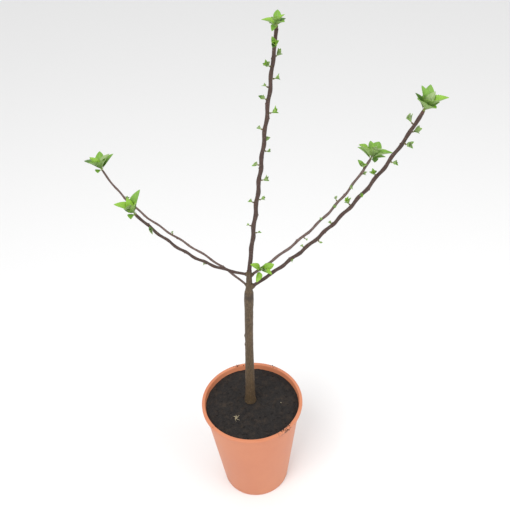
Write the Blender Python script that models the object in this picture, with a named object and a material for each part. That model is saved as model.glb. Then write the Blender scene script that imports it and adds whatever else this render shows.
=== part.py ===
"""Young apple tree in a terracotta-coloured plastic pot.

The trunk stands in a pot of compost, cut flat where it meets the compost. A leader and four boughs
leave its fork. Each ends in a tuft of opening leaves and carries small leafy spurs. Every leafy piece
is one stem with leaves set round it by the same seeded spiral. Metres, +Z up. The origin is at the
centre of the pot's flat underside, and the view from the front looks along +Y.
"""

import math
import random
from collections import namedtuple

import bmesh
import bpy
from mathutils import Matrix, Vector, noise
from mathutils.bvhtree import BVHTree

# Clearance between pieces that touch
GAP = 0.0003

# Pot
POT_HEIGHT = 0.2585
POT_RIM_RADIUS = 0.113
POT_RIM_WIDTH = 0.0068
POT_RIM_DEPTH = 0.0075
POT_BODY_TOP_RADIUS = 0.1078
POT_BASE_RADIUS = 0.0764
POT_WALL = 0.0018
POT_FLOOR = 0.0026
POT_EDGE = 0.0010
POT_FOOT_EDGE = 0.0020
POT_SIDES = 48
DRAIN_HOLES = 8
DRAIN_RADIUS = 0.006
DRAIN_CIRCLE_RADIUS = 0.054

# Compost
SOIL_TOP = 0.2464
SOIL_RINGS = 10
SOIL_CLOD_HEIGHT = 0.0032
SOIL_CLOD_SIZE = 0.016
SOIL_PATCH_RADIUS = 0.017

# Trunk: heights are fractions of its length, from the compost to the fork
TRUNK_FOOT = Vector((-0.0035, 0.0108, SOIL_TOP + GAP))
TRUNK_TOP = Vector((0.0112, 0.0108, 0.6320))
TRUNK_LEAVE = 88.3
TRUNK_ARRIVE = 86.5
TRUNK_GIRTH = (
    (0.00, 0.0134),
    (0.04, 0.0114),
    (0.14, 0.0102),
    (0.50, 0.0087),
    (0.72, 0.0089),
    (0.81, 0.0097),
    (0.85, 0.0093),
    (0.89, 0.0066),
    (0.94, 0.0059),
    (1.00, 0.0050),
)
TRUNK_SECTIONS = 26
TRUNK_SIDES = 12

# Limbs: angles in degrees, azimuth from +X towards +Y, the rest up from level
Limb = namedtuple(
    "Limb", "azimuth foot_reach foot_height tip_reach tip_height leave arrive foot_radius tip_radius"
)
LIMBS = {
    "leader": Limb(0.0, 0.0112, 0.6323, 0.0738, 1.1090, 83.0, 83.0, 0.0042, 0.0030),
    "bough_front_left": Limb(205.0, 0.0092, 0.6272, 0.2000, 0.8390, 33.0, 58.6, 0.0027, 0.0024),
    "bough_back_left": Limb(160.0, 0.0100, 0.5960, 0.2761, 0.8173, 41.0, 65.0, 0.0022, 0.0018),
    "bough_front_right": Limb(-20.0, 0.0100, 0.5970, 0.2916, 1.0049, 45.5, 67.0, 0.0034, 0.0029),
    "bough_back_right": Limb(18.0, 0.0092, 0.6210, 0.2495, 0.8149, 24.5, 57.0, 0.0027, 0.0023),
}
FORK_AXIS = Vector((0.0104, 0.0108, 0.0))
LIMB_SIDES = 8
INTERNODE = 0.026
KNOT_SWELL = 0.14
WEAVE = 0.0009
CURVE_PULL = 0.36
COLLAR_FOOT_SWELL = 1.55
COLLAR_TOP_SWELL = 1.15

# Leaves: stations along a leaf as (fraction of length, half width, half thickness), the last two in
# fractions of the blade's half width and of the thickness at the root
LEAF_STATIONS = (
    (0.00, 0.10, 1.00),
    (0.15, 0.09, 0.90),
    (0.27, 0.50, 0.75),
    (0.50, 1.00, 0.70),
    (0.76, 0.74, 0.60),
    (1.00, 0.06, 0.35),
)
LEAF_WIDTH = 0.46
LEAF_FOLD = 0.42
LEAF_CURL = 0.16
LEAF_ROOT_THICKNESS = 0.0007
SPIRAL = 137.5
STEM_SIDES = 6
LEAF_CLEARANCE = 0.0007

# Tufts of leaves: what each grows on, the number of leaves, the longest leaf, the stem's length and
# radius, the first leaf's turn, the lowest and the highest leaf's spread from the stem, and the seed
Tuft = namedtuple("Tuft", "limb leaves leaf stem radius turn open closed lift seed")
TIP_TUFTS = {
    "leaves_leader_tip": Tuft("leader", 8, 0.0276, 0.0090, 0.0022, 120.0, 87.0, 30.0, 0.80, 346),
    "leaves_front_left_tip": Tuft("bough_front_left", 6, 0.0415, 0.0101, 0.0021, 134.7, 69.0, 5.0, 0.80, 869),
    "leaves_back_left_tip": Tuft("bough_back_left", 9, 0.0415, 0.0080, 0.0016, 122.7, 67.7, 25.0, 0.80, 470),
    "leaves_front_right_tip": Tuft("bough_front_right", 9, 0.0407, 0.0102, 0.0025, 18.9, 48.4, 22.7, 0.42, 615),
    "leaves_back_right_tip": Tuft("bough_back_right", 9, 0.0460, 0.0080, 0.0019, 0.0, 68.6, 37.3, 0.71, 295),
}

# Leafy spurs along each limb: fraction of the limb's length, turn about it in degrees (0 is the right
# or lower side, 90 the front, 180 the left or upper side), number of leaves, longest leaf and seed
SPURS = {
    "leader": (
        (0.185, 10.0, 1, 0.0080, 1),
        (0.214, 185.0, 1, 0.0070, 2),
        (0.325, 175.0, 2, 0.0110, 3),
        (0.338, -10.0, 2, 0.0110, 4),
        (0.430, 15.0, 2, 0.0140, 5),
        (0.500, 160.0, 2, 0.0130, 6),
        (0.559, 25.0, 2, 0.0090, 7),
        (0.588, -64.8, 2, 0.0150, 300),
        (0.645, 165.0, 1, 0.0090, 9),
        (0.712, 5.0, 2, 0.0150, 10),
        (0.763, 150.0, 2, 0.0155, 993),
        (0.806, 205.0, 1, 0.0090, 12),
        (0.838, 10.0, 2, 0.0120, 660),
        (0.881, 145.0, 3, 0.0175, 458),
        (0.911, -43.4, 3, 0.0148, 660),
        (0.953, 96.5, 3, 0.0190, 20),
    ),
    "bough_front_left": (
        (0.320, 200.0, 1, 0.0060, 1),
        (0.864, 83.0, 1, 0.0130, 517),
    ),
    "bough_back_left": (
        (0.480, 20.0, 1, 0.0060, 1),
        (0.798, 31.5, 2, 0.0095, 458),
    ),
    "bough_front_right": (
        (0.217, 100.0, 1, 0.0070, 1),
        (0.300, 170.0, 1, 0.0070, 2),
        (0.368, 60.0, 1, 0.0070, 3),
        (0.465, 170.0, 2, 0.0080, 503),
        (0.576, 200.0, 3, 0.0150, 325),
        (0.642, 117.6, 3, 0.0089, 660),
        (0.736, 165.0, 3, 0.0140, 184),
        (0.810, 55.0, 3, 0.0135, 660),
        (0.890, 60.0, 3, 0.0165, 20),
        (0.930, -21.9, 3, 0.0168, 771),
        (0.955, 215.0, 2, 0.0170, 325),
    ),
    "bough_back_right": (
        (0.378, 20.0, 1, 0.0080, 1),
        (0.529, 132.2, 3, 0.0075, 660),
        (0.648, 110.5, 3, 0.0086, 20),
        (0.690, 185.0, 2, 0.0090, 325),
        (0.804, 107.1, 1, 0.0099, 458),
        (0.906, -38.7, 3, 0.0119, 204),
        (0.950, 145.0, 1, 0.0200, 651),
    ),
}
SPUR_STEM = 0.0046
SPUR_RADIUS = 0.0012
SPUR_TIP_RADIUS = 0.0006
SPUR_RISE = 38.0

# Short shoot with larger leaves just above the fork, on the back right bough
FORK_SHOOT = Tuft("bough_back_right", 6, 0.0320, 0.0147, 0.0014, 125.2, 116.6, 5.0, 0.58, 252)
FORK_SHOOT_FRACTION = 0.040
FORK_SHOOT_TURN = 107.7

# Name, colour, roughness
MATERIALS = {
    "pot": ("terracotta plastic", (0.46, 0.13, 0.055), 0.45),
    "soil": ("dark compost", (0.020, 0.015, 0.012), 0.95),
    "bark": ("young bark", (0.11, 0.070, 0.045), 0.75),
    "leaf": ("apple leaf", (0.26, 0.42, 0.055), 0.5),
}


def clear_scene():
    """Remove whatever the file opened with."""
    for old in list(bpy.data.objects):
        bpy.data.objects.remove(old)


def material(key):
    """Principled material of one of the finishes, made once."""
    label, colour, roughness = MATERIALS[key]
    made = bpy.data.materials.get(label)
    if made is None:
        made = bpy.data.materials.new(label)
        made.use_nodes = True
        shader = made.node_tree.nodes["Principled BSDF"]
        shader.inputs["Base Color"].default_value = (*colour, 1.0)
        shader.inputs["Roughness"].default_value = roughness
    return made


def add_object(name, bm, finish):
    """Turn a bmesh into a named, smooth-shaded object."""
    mesh = bpy.data.meshes.new(name)
    bmesh.ops.recalc_face_normals(bm, faces=bm.faces[:])
    bm.to_mesh(mesh)
    bm.free()
    mesh.materials.append(material(finish))
    mesh.shade_smooth()
    mesh.set_sharp_from_angle(angle=math.radians(40.0))
    made = bpy.data.objects.new(name, mesh)
    bpy.context.scene.collection.objects.link(made)
    return made


def apply_modifiers(target):
    """Replace an object's mesh by the one its modifiers make."""
    bpy.context.view_layer.update()
    graph = bpy.context.evaluated_depsgraph_get()
    result = bpy.data.meshes.new_from_object(target.evaluated_get(graph))
    target.modifiers.clear()
    target.data = result


def keep_largest_shell(target):
    """Drop loose scraps and the walls of sealed hollows: all but the largest shell."""
    bm = bmesh.new()
    bm.from_mesh(target.data)
    left = set(bm.verts)
    shells = []
    while left:
        shell = {left.pop()}
        edge_of_shell = list(shell)
        while edge_of_shell:
            vert = edge_of_shell.pop()
            for edge in vert.link_edges:
                other = edge.other_vert(vert)
                if other in left:
                    left.remove(other)
                    shell.add(other)
                    edge_of_shell.append(other)
        shells.append(shell)
    shells.sort(key=shell_size)
    for shell in shells[:-1]:
        bmesh.ops.delete(bm, geom=list(shell), context="VERTS")
    bm.to_mesh(target.data)
    bm.free()


def shell_size(shell):
    """Diagonal of the box round a set of vertices."""
    spans = []
    for axis in range(3):
        values = [vert.co[axis] for vert in shell]
        spans.append(max(values) - min(values))
    return Vector(spans).length


def join_all(target, parts, operation="UNION"):
    """One Boolean of target with a collection of parts, applied; the parts are then removed."""
    group = bpy.data.collections.new(target.name + "_parts")
    bpy.context.scene.collection.children.link(group)
    for part in parts:
        bpy.context.scene.collection.objects.unlink(part)
        group.objects.link(part)
    boolean = target.modifiers.new("join", "BOOLEAN")
    boolean.operation = operation
    boolean.operand_type = "COLLECTION"
    boolean.collection = group
    boolean.solver = "EXACT"
    apply_modifiers(target)
    for part in parts:
        bpy.data.objects.remove(part)
    bpy.data.collections.remove(group)
    keep_largest_shell(target)
    target.data.shade_smooth()
    target.data.set_sharp_from_angle(angle=math.radians(40.0))


def mix(low, high, share):
    """Value a share of the way from low to high."""
    return low + (high - low) * share


def girth(stations, share):
    """Radius at a share of the length, eased between the named stations."""
    for (start, low), (end, high) in zip(stations, stations[1:]):
        if share <= end:
            local = (share - start) / (end - start)
            eased = local * local * (3.0 - 2.0 * local)
            return mix(low, high, eased)
    return stations[-1][1]


def spun(profile, sides):
    """Closed solid turned about Z from a profile of (radius, height) that starts and ends on the axis."""
    bm = bmesh.new()
    verts = [bm.verts.new((radius, 0.0, height)) for radius, height in profile]
    edges = [bm.edges.new(pair) for pair in zip(verts, verts[1:])]
    bmesh.ops.spin(
        bm,
        geom=verts + edges,
        cent=(0.0, 0.0, 0.0),
        axis=(0.0, 0.0, 1.0),
        angle=math.tau,
        steps=sides,
        use_merge=True,
    )
    bmesh.ops.remove_doubles(bm, verts=bm.verts[:], dist=0.00001)
    return bm


def loft(sections, sides):
    """Closed body through sections, each a matrix that carries a unit circle to its place."""
    bm = bmesh.new()
    bmesh.ops.create_circle(bm, cap_ends=True, radius=1.0, segments=sides, matrix=sections[0])
    bottom = bm.faces[:][0]
    face = bottom
    for before, after in zip(sections, sections[1:]):
        grown = bmesh.ops.extrude_face_region(bm, geom=[face])["geom"]
        if face is not bottom:
            bmesh.ops.delete(bm, geom=[face], context="FACES_ONLY")
        face = next(item for item in grown if isinstance(item, bmesh.types.BMFace))
        bmesh.ops.transform(bm, matrix=after @ before.inverted(), verts=face.verts[:])
    bmesh.ops.recalc_face_normals(bm, faces=bm.faces[:])
    return bm


def section_frame(point, tangent, across):
    """Matrix at a point with X across, Y away from the front and Z along the tangent."""
    side = (across - tangent * across.dot(tangent)).normalized()
    away = tangent.cross(side)
    frame = Matrix((side, away, tangent)).transposed().to_4x4()
    frame.translation = point
    return frame


def bezier(foot, tip, leave, arrive, share):
    """Point on the curve between two (reach, height) ends with the named slopes."""
    pull = (tip - foot).length * CURVE_PULL
    near = foot + pull * Vector((math.cos(math.radians(leave)), math.sin(math.radians(leave))))
    far = tip - pull * Vector((math.cos(math.radians(arrive)), math.sin(math.radians(arrive))))
    rest = 1.0 - share
    outer = foot * rest**3 + tip * share**3
    return outer + near * (3.0 * rest * rest * share) + far * (3.0 * rest * share * share)


def trunk_point(share):
    """Point on the trunk's axis."""
    foot = Vector((TRUNK_FOOT.x, TRUNK_FOOT.z))
    top = Vector((TRUNK_TOP.x, TRUNK_TOP.z))
    place = bezier(foot, top, TRUNK_LEAVE, TRUNK_ARRIVE, share)
    return Vector((place.x, TRUNK_FOOT.y, place.y))


def trunk_tangent(share):
    """Direction of the trunk's axis."""
    low = trunk_point(max(0.0, share - 0.01))
    high = trunk_point(min(1.0, share + 0.01))
    return (high - low).normalized()


def limb_length(name):
    """Rough length of a limb, from foot to tip."""
    limb = LIMBS[name]
    run = limb.tip_reach - limb.foot_reach
    rise = limb.tip_height - limb.foot_height
    return math.hypot(run, rise) * 1.02


def limb_point(name, share):
    """Point on a limb's axis, with the slight zigzag from bud to bud."""
    limb = LIMBS[name]
    foot = Vector((limb.foot_reach, limb.foot_height))
    tip = Vector((limb.tip_reach, limb.tip_height))
    place = bezier(foot, tip, limb.leave, limb.arrive, share)
    turn = math.radians(limb.azimuth)
    outward = Vector((math.cos(turn), math.sin(turn), 0.0))
    sideways = Vector((-math.sin(turn), math.cos(turn), 0.0))
    centre = Vector((0.0, FORK_AXIS.y, 0.0)) if name == "leader" else FORK_AXIS
    point = centre + outward * place.x + Vector((0.0, 0.0, place.y))
    nodes = share * limb_length(name) / INTERNODE
    ease = min(1.0, share * 6.0) * min(1.0, (1.0 - share) * 6.0)
    swing = WEAVE * ease
    lift = Vector((-outward.x, -outward.y, 0.4))
    return point + sideways * swing * math.sin(math.pi * nodes) + lift * swing * math.cos(math.pi * nodes)


def limb_tangent(name, share):
    """Direction of growth, smoothed over the zigzag."""
    step = 0.02
    low = max(0.0, share - step)
    high = min(1.0, share + step)
    return (limb_point(name, high) - limb_point(name, low)).normalized()


def across(tangent):
    """The limb's right or lower side, seen from the front."""
    return Vector((0.0, 1.0, 0.0)).cross(tangent).normalized()


def limb_radius(name, share):
    """Tapering radius with a swelling at each bud."""
    limb = LIMBS[name]
    nodes = share * limb_length(name) / INTERNODE
    knot = 0.5 + 0.5 * math.cos(math.tau * nodes)
    ease = min(1.0, share * 8.0)
    return mix(limb.foot_radius, limb.tip_radius, share) * (1.0 + KNOT_SWELL * knot * ease)


def make_pot():
    """Tapered pot with a turned-down rim and drainage holes in its flat floor."""
    flange_inside = POT_RIM_RADIUS - POT_WALL
    lip_inside = POT_RIM_RADIUS - POT_RIM_WIDTH
    under_lip = POT_HEIGHT - POT_WALL
    flange_foot = POT_HEIGHT - POT_RIM_DEPTH
    profile = (
        (0.0, 0.0),
        (POT_BASE_RADIUS - POT_FOOT_EDGE, 0.0),
        (POT_BASE_RADIUS, POT_FOOT_EDGE),
        (POT_BODY_TOP_RADIUS, under_lip),
        (flange_inside, under_lip),
        (flange_inside, flange_foot),
        (POT_RIM_RADIUS, flange_foot),
        (POT_RIM_RADIUS, POT_HEIGHT - POT_EDGE),
        (POT_RIM_RADIUS - POT_EDGE, POT_HEIGHT),
        (lip_inside + POT_EDGE, POT_HEIGHT),
        (lip_inside, POT_HEIGHT - POT_EDGE),
        (POT_BASE_RADIUS - POT_WALL, POT_FLOOR),
        (0.0, POT_FLOOR),
    )
    pot = add_object("pot", spun(profile, POT_SIDES), "pot")
    holes = []
    for index in range(DRAIN_HOLES):
        turn = math.tau * index / DRAIN_HOLES
        bm = bmesh.new()
        place = Matrix.Rotation(turn, 4, "Z") @ Matrix.Translation((DRAIN_CIRCLE_RADIUS, 0.0, 0.0))
        bmesh.ops.create_cone(
            bm,
            cap_ends=True,
            segments=12,
            radius1=DRAIN_RADIUS,
            radius2=DRAIN_RADIUS,
            depth=POT_FLOOR * 4.0,
            matrix=place,
        )
        holes.append(add_object(f"drain_{index}", bm, "pot"))
    join_all(pot, holes, "DIFFERENCE")


def pot_inner_radius(height):
    """Radius of the pot's inner wall at a height."""
    low = POT_BASE_RADIUS - POT_WALL
    high = POT_RIM_RADIUS - POT_RIM_WIDTH
    share = (height - POT_FLOOR) / (POT_HEIGHT - POT_EDGE - POT_FLOOR)
    return mix(low, high, share)


def make_soil():
    """Compost that fills the pot, with a cloddy top and a flat patch under the trunk."""
    floor = POT_FLOOR + GAP
    wall_gap = GAP * 1.2
    sections = []
    for height in (floor, SOIL_TOP):
        radius = pot_inner_radius(height) - wall_gap
        scale = Matrix.Diagonal((radius, radius, 1.0, 1.0))
        sections.append(Matrix.Translation((0.0, 0.0, height)) @ scale)
    top_radius = pot_inner_radius(SOIL_TOP) - wall_gap
    patch = Vector((TRUNK_FOOT.x, TRUNK_FOOT.y, 0.0))
    for ring in range(1, SOIL_RINGS + 1):
        share = ring / SOIL_RINGS
        radius = mix(top_radius, SOIL_PATCH_RADIUS, share)
        scale = Matrix.Diagonal((radius, radius, 1.0, 1.0))
        centre = patch * share
        centre.z = SOIL_TOP
        sections.append(Matrix.Translation(centre) @ scale)
    bm = loft(sections, POT_SIDES)
    for vert in bm.verts:
        if vert.co.z > SOIL_TOP - 0.001:
            away = (vert.co.xy - patch.xy).length - SOIL_PATCH_RADIUS
            ease = min(1.0, max(0.0, away / SOIL_CLOD_SIZE))
            bump = noise.noise(vert.co / SOIL_CLOD_SIZE) + 0.5 * noise.noise(vert.co * 2.3 / SOIL_CLOD_SIZE)
            edge = pot_inner_radius(SOIL_TOP) - vert.co.xy.length
            rise = bump * SOIL_CLOD_HEIGHT * ease
            if edge < 0.001:
                rise = -abs(rise)
            vert.co.z += rise
    add_object("soil", bm, "soil")


def make_trunk():
    """Trunk from its flat cut to the fork, with a short collar where each bough leaves it."""
    sections = []
    for index in range(TRUNK_SECTIONS):
        share = index / (TRUNK_SECTIONS - 1)
        tangent = Vector((0.0, 0.0, 1.0)) if index == 0 else trunk_tangent(share)
        frame = section_frame(trunk_point(share), tangent, Vector((1.0, 0.0, 0.0)))
        sections.append(frame @ Matrix.Scale(girth(TRUNK_GIRTH, share), 4))
    trunk = add_object("trunk", loft(sections, TRUNK_SIDES), "bark")
    collars = []
    for name in LIMBS:
        if name != "leader":
            collars.append(make_collar(name))
    join_all(trunk, collars)


def make_collar(name):
    """Flared stub from the trunk's heart to the foot of a bough."""
    limb = LIMBS[name]
    foot = limb_point(name, 0.0)
    tangent = limb_tangent(name, 0.0)
    depth = limb.foot_reach / math.cos(math.radians(limb.leave))
    frame = section_frame(foot, tangent, across(tangent))
    sections = []
    for back, swell in ((depth, COLLAR_FOOT_SWELL), (depth * 0.4, COLLAR_FOOT_SWELL), (GAP, COLLAR_TOP_SWELL)):
        radius = Matrix.Scale(limb.foot_radius * swell, 4)
        sections.append(frame @ Matrix.Translation((0.0, 0.0, -back)) @ radius)
    return add_object(name + "_collar", loft(sections, LIMB_SIDES), "bark")


def make_limb(name):
    """One tapering limb, with a section at each bud and one between."""
    count = 2 * round(limb_length(name) / INTERNODE)
    sections = []
    for index in range(count + 1):
        share = index / count
        tangent = limb_tangent(name, share)
        frame = section_frame(limb_point(name, share), tangent, across(tangent))
        if name == "leader" and index == 0:
            tangent = trunk_tangent(1.0)
            frame = section_frame(limb_point(name, share), tangent, across(tangent))
        sections.append(frame @ Matrix.Scale(limb_radius(name, share), 4))
    add_object(name, loft(sections, LIMB_SIDES), "bark")


def leaf_blade(length):
    """A leaf along +X with its upper face to +Z: a stalk that widens to a folded, curling blade."""
    half_width = length * LEAF_WIDTH / 2.0
    sections = []
    for along, width, thickness in LEAF_STATIONS:
        shape = Matrix(
            (
                (0.0, 0.0, 1.0, along * length),
                (half_width * width, 0.0, 0.0, 0.0),
                (0.0, LEAF_ROOT_THICKNESS * thickness, 0.0, 0.0),
                (0.0, 0.0, 0.0, 1.0),
            )
        )
        sections.append(shape)
    bm = loft(sections, 4)
    for vert in bm.verts:
        vert.co.z += LEAF_FOLD * abs(vert.co.y) - LEAF_CURL * vert.co.x**2 / length
    return bm


def stem_point(base, start, aim, length, share):
    """Point on a stem that leaves its foot one way and bends to the way it aims."""
    return base + (start * share * (1.0 - share / 2.0) + aim * share * share / 2.0) * length


def leaf_plan(tuft, base, aim, start):
    """Matrices and lengths of a tuft's leaves, set round its stem by the seeded spiral."""
    draw = random.Random(tuft.seed)
    plan = []
    for index in range(tuft.leaves):
        share = (index + 0.5) / tuft.leaves
        turn = math.radians(tuft.turn + SPIRAL * index + draw.uniform(-14.0, 14.0))
        spread = math.radians(mix(tuft.open, tuft.closed, share) + draw.uniform(-8.0, 8.0))
        length = tuft.leaf * (0.62 + 0.38 * math.sin(math.pi * share)) * draw.uniform(0.82, 1.0)
        outward = Vector((math.cos(turn), math.sin(turn), 0.0))
        growth = outward * math.sin(spread) + Vector((0.0, 0.0, 1.0)) * math.cos(spread)
        upper = Vector((0.0, 0.0, 1.0)) * math.sin(spread) - outward * math.cos(spread)
        side = upper.cross(growth)
        root = stem_point(base, start, aim, tuft.stem, mix(0.35, 0.96, share))
        frame = section_frame(root, aim, across(aim))
        local = Matrix((growth, side, upper)).transposed().to_4x4()
        plan.append((frame @ local, length))
    return plan


def lifted(aim, lift):
    """A direction of growth turned up towards the light."""
    return (aim + Vector((0.0, 0.0, lift))).normalized()


def reach_of(tuft):
    """Radius of the space that a tuft keeps to, from the foot of its stem."""
    return tuft.stem + tuft.leaf


def is_clear(bm, placed):
    """Whether a leaf stays clear of every finished limb and of the other tufts."""
    tree = BVHTree.FromBMesh(bm)
    for other in placed:
        if tree.overlap(other):
            return False
        for vert in bm.verts:
            near = other.find_nearest(vert.co, LEAF_CLEARANCE)
            if near[0] is not None:
                return False
    return True


def make_tuft(name, tuft, base, aim, placed, start):
    """A stem with its leaves fused on, as one solid; leaves that would touch something are skipped."""
    tip_radius = max(SPUR_TIP_RADIUS, tuft.radius * 0.35)
    sections = []
    for share in (0.0, 0.35, 0.7, 1.0):
        heading = (start * (1.0 - share) + aim * share).normalized()
        centre = stem_point(base, start, aim, tuft.stem, share)
        frame = section_frame(centre, heading, across(heading))
        sections.append(frame @ Matrix.Scale(mix(tuft.radius, tip_radius, share), 4))
    stem = add_object(name, loft(sections, STEM_SIDES), "leaf")
    leaves = []
    for index, (place, length) in enumerate(leaf_plan(tuft, base, aim, start)):
        bm = leaf_blade(length)
        bm.transform(place)
        tip = max((vert.co - base).length for vert in bm.verts)
        if tip > reach_of(tuft) or not is_clear(bm, placed):
            bm.free()
            continue
        leaves.append(add_object(f"{name}_leaf_{index}", bm, "leaf"))
    if leaves:
        join_all(stem, leaves)
    placed.append(solid_tree(stem))


def solid_tree(solid):
    """Search tree over a finished solid's faces."""
    bm = bmesh.new()
    bm.from_mesh(solid.data)
    tree = BVHTree.FromBMesh(bm)
    bm.free()
    return tree


def side_spot(limb_name, fraction, turn):
    """Spot just clear of a limb's side, with the directions outward and of the shoot that grows there."""
    tangent = limb_tangent(limb_name, fraction)
    right = across(tangent)
    away = tangent.cross(right)
    angle = math.radians(turn)
    outward = right * math.cos(angle) - away * math.sin(angle)
    limb = LIMBS[limb_name]
    widest = mix(limb.foot_radius, limb.tip_radius, fraction) * (1.0 + KNOT_SWELL)
    base = limb_point(limb_name, fraction) + outward * (widest + GAP)
    rise = math.radians(SPUR_RISE)
    aim = (outward * math.cos(rise) + tangent * math.sin(rise)).normalized()
    return base, outward, aim


def make_tufts():
    """All leafy pieces: the tips first, then the shoot at the fork, then the spurs."""
    placed = []
    for name in ("trunk", *LIMBS):
        placed.append(solid_tree(bpy.data.objects[name]))
    for name, tuft in TIP_TUFTS.items():
        tangent = limb_tangent(tuft.limb, 1.0)
        base = limb_point(tuft.limb, 1.0) + tangent * GAP
        make_tuft(name, tuft, base, lifted(tangent, tuft.lift), placed, tangent)
    base, outward, aim = side_spot(FORK_SHOOT.limb, FORK_SHOOT_FRACTION, FORK_SHOOT_TURN)
    make_tuft("leaves_fork", FORK_SHOOT, base, lifted(aim, FORK_SHOOT.lift), placed, outward)
    for limb_name, rows in SPURS.items():
        for index, (fraction, turn, leaves, leaf, seed) in enumerate(rows):
            spur = Tuft(limb_name, leaves, leaf, SPUR_STEM, SPUR_RADIUS, turn, 42.0, 8.0, 0.0, seed)
            base, outward, aim = side_spot(limb_name, fraction, turn)
            short_name = limb_name.replace("bough_", "")
            make_tuft(f"spur_{short_name}_{index + 1:02d}", spur, base, aim, placed, outward)


def main():
    """Build the whole plant and its pot."""
    clear_scene()
    make_pot()
    make_soil()
    make_trunk()
    for name in LIMBS:
        make_limb(name)
    make_tufts()


if __name__ == "__main__":
    main()
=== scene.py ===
"""Looks of the young apple tree in its pot: bark, leaves, compost, plastic and a plain studio.

Every piece grows from the same named sizes as the solids that it stands for. Metres, +Z up.
"""

import math
import random
from collections import namedtuple

import bmesh
import bpy
from bpy.props import FloatProperty, FloatVectorProperty, IntProperty, PointerProperty
from mathutils import Matrix, Vector, noise
from mathutils.bvhtree import BVHTree


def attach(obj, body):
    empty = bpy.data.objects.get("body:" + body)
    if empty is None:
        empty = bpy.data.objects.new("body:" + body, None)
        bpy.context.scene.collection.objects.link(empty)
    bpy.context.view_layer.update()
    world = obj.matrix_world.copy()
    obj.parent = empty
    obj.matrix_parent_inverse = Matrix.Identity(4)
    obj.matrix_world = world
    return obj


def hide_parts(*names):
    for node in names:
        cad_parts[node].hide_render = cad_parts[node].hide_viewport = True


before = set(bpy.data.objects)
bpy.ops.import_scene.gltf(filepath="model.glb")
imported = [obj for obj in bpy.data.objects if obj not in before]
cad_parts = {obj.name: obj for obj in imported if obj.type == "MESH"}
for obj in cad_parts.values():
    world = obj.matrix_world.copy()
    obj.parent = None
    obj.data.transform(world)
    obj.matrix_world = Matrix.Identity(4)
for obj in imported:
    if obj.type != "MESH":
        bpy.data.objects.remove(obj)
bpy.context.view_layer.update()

bl_info = {
    "name": "Potted Apple Tree",
    "version": (1, 0, 0),
    "blender": (4, 5, 0),
    "location": "3D View > Sidebar > Apple Tree",
    "description": "Dresses a young apple tree in a pot with bark, leaves and compost",
    "category": "Object",
}

# Clearance that the solids keep between pieces, and how far a limb's skin is sunk into its foot
GAP = 0.0003
SINK = 0.003

# Pot, with how far off its circle a point may lie
POT_HEIGHT = 0.2585
POT_RIM_RADIUS = 0.113
POT_RIM_WIDTH = 0.0068
POT_RIM_DEPTH = 0.0075
POT_BODY_TOP_RADIUS = 0.1078
POT_BASE_RADIUS = 0.0764
POT_WALL = 0.0018
POT_FLOOR = 0.0026
POT_EDGE = 0.0010
HAIR = 0.00002
DRAIN_HOLES = 8
DRAIN_RADIUS = 0.006
DRAIN_CIRCLE_RADIUS = 0.054

# Compost
SOIL_TOP = 0.2464
SOIL_CLOD_HEIGHT = 0.0032
SOIL_CLOD_SIZE = 0.016
SOIL_PATCH_RADIUS = 0.017
SOIL_SIDES = 160
CRUMB_SMALLEST = 0.0006
CRUMB_RANGE = 0.0022
CRUMB_ROUGHNESS = 0.35
WANDER_SHIFTS = (0.0, 19.7, 41.3)
SPILLED_SMALLEST = 0.0005
SPILLED_RANGE = 0.0013

# Compost spilled on the rim: direction in degrees, crumbs, spread along the rim in degrees and how far
# down the outer wall some of it lies
Spill = namedtuple("Spill", "azimuth crumbs spread drop")
SPILLS = (
    Spill(-52.0, 34, 9.0, 0.016),
    Spill(59.0, 16, 6.0, 0.0),
    Spill(104.0, 14, 8.0, 0.0),
    Spill(-142.0, 3, 2.0, 0.0),
)
SPILL_REACH = 0.03

# What lies on the compost: a withered sprig and a pale speck
SPRIG = (-0.038, -0.038)
SPRIG_LEAVES = 6
SPECK = (0.0645, -0.005)

# Trunk: heights are fractions of its length, from the compost to the fork
TRUNK_FOOT = Vector((-0.0035, 0.0108, SOIL_TOP + GAP))
TRUNK_TOP = Vector((0.0112, 0.0108, 0.6320))
TRUNK_LEAVE = 88.3
TRUNK_ARRIVE = 86.5
TRUNK_GIRTH = (
    (0.00, 0.0134),
    (0.04, 0.0114),
    (0.14, 0.0102),
    (0.50, 0.0087),
    (0.72, 0.0089),
    (0.81, 0.0097),
    (0.85, 0.0093),
    (0.89, 0.0066),
    (0.94, 0.0059),
    (1.00, 0.0050),
)
GRAFT_HEIGHT = 0.567

# Knots and scars of the trunk: height, direction in degrees, radius and rise
Knot = namedtuple("Knot", "height azimuth radius rise")
KNOTS = (
    Knot(0.500, -100.0, 0.0050, 0.0012),
    Knot(0.520, -40.0, 0.0045, 0.0010),
    Knot(0.455, 178.0, 0.0040, 0.0014),
    Knot(0.428, 182.0, 0.0040, 0.0012),
    Knot(0.350, -70.0, 0.0060, -0.0008),
    Knot(0.330, 60.0, 0.0050, 0.0012),
    Knot(0.410, 100.0, 0.0050, 0.0012),
)
KNOT_REACH = 0.009

# Bark: sizes of its ridges and cracks on the trunk and on a limb, how far they are drawn out along it,
# a limb's share of the trunk's relief, the bare hem at the trunk's ends and the fused mesh's cell
TRUNK_RIDGES = (0.0032, 0.0012)
LIMB_RIDGES = (0.0022, 0.0009)
RIDGE_STRETCH = 0.3
LIMB_RELIEF = 0.4
BARK_HEM = 0.001
BARK_CELL = 0.0008
MILLIMETRES = 1000.0

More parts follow.
